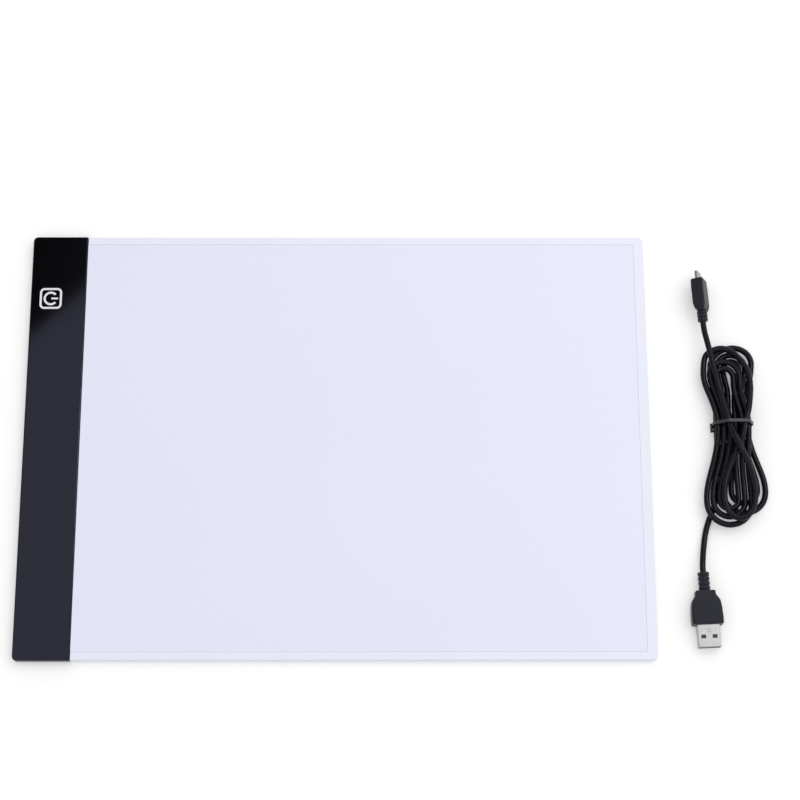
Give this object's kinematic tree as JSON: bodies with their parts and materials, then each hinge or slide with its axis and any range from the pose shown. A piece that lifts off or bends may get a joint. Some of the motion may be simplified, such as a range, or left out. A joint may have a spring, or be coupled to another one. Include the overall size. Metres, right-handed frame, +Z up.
{
  "type": "led tracing pad",
  "caption": "Thin flat light pad for tracing: white opal panel in a slim white housing, black touch-control strip, and a loose power lead tied in a hank.",
  "frame": {"origin": "on the table, under the middle of the pad without its lead", "axes": "+X along the pad away from the black control strip, +Y away from the user with the strip at the left, +Z up"},
  "size_m": [0.3968, 0.235, 0.0146],
  "materials": {
    "white_housing": "white housing, fine matt moulding",
    "opal_panel": "opal white acrylic with a satin face",
    "black_strip": "glossy black, printed with a white touch mark",
    "clear_acrylic": "clear acrylic, dotted on its underside",
    "white_film": "white optical film",
    "pale_tape": "double-sided tape",
    "black_tape": "black masking film",
    "led_board": "white solder mask with white packages and yellow phosphor",
    "green_board": "green solder mask on glass-fibre board",
    "chip_black": "moulded black",
    "tan_ceramic": "tan ceramic with tinned ends",
    "copper_foil": "bare copper foil",
    "grey_foam": "conductive foam",
    "red_wire": "soft insulation",
    "black_wire": "soft insulation",
    "foot_rubber": "soft pale rubber",
    "plated_steel": "nickel plate, satin",
    "black_insulator": "moulded black",
    "gold_contact": "gold plate",
    "plug_moulding": "bluish black soft moulding",
    "cord_jacket": "black jacket with a soft sheen",
    "tie_plastic": "black coated band"
  },
  "bodies": {
    "pad": {"back_cover": "white_housing", "top_panel": "opal_panel", "panel_tape": "pale_tape", "diffuser_sheet": "white_film", "light_guide": "clear_acrylic", "reflector_sheet": "white_film", "strip_cover": "black_strip", "strip_tape": "pale_tape", "led_bar": "led_board", "bar_tape": "pale_tape", "light_shield": "black_tape", "control_board": "green_board", "board_tape": "pale_tape", "usb_socket_shell": "plated_steel", "usb_socket_tongue": "black_insulator", "touch_electrode": "copper_foil", "touch_contact": "grey_foam", "touch_chip": "chip_black", "driver_chip": "chip_black", "capacitor": "tan_ceramic", "resistor_1": "chip_black", "resistor_2": "chip_black", "led_wire_positive": "red_wire", "led_wire_negative": "black_wire", "foot_near_left": "foot_rubber", "foot_near_right": "foot_rubber", "foot_far_left": "foot_rubber", "foot_far_right": "foot_rubber"},
    "usb_lead": {"micro_strain_relief": "plug_moulding", "micro_plug_body": "plug_moulding", "micro_plug_shell": "plated_steel", "micro_plug_tongue": "black_insulator", "usb_a_strain_relief": "plug_moulding", "usb_a_plug_body": "plug_moulding", "usb_a_plug_shell": "plated_steel", "usb_a_plug_tongue": "black_insulator", "usb_a_contact_1": "gold_contact", "usb_a_contact_2": "gold_contact", "usb_a_contact_3": "gold_contact", "usb_a_contact_4": "gold_contact", "lead_hank": "cord_jacket", "lead_plug_end": "cord_jacket", "lead_usb_end": "cord_jacket", "hank_tie": "tie_plastic"}
  },
  "joints": [
    {"name": "lead_lift", "type": "slide", "parent": "pad", "child": "usb_lead", "axis": [0, 0, 1], "range_m": [0, 0.1]}
  ]
}
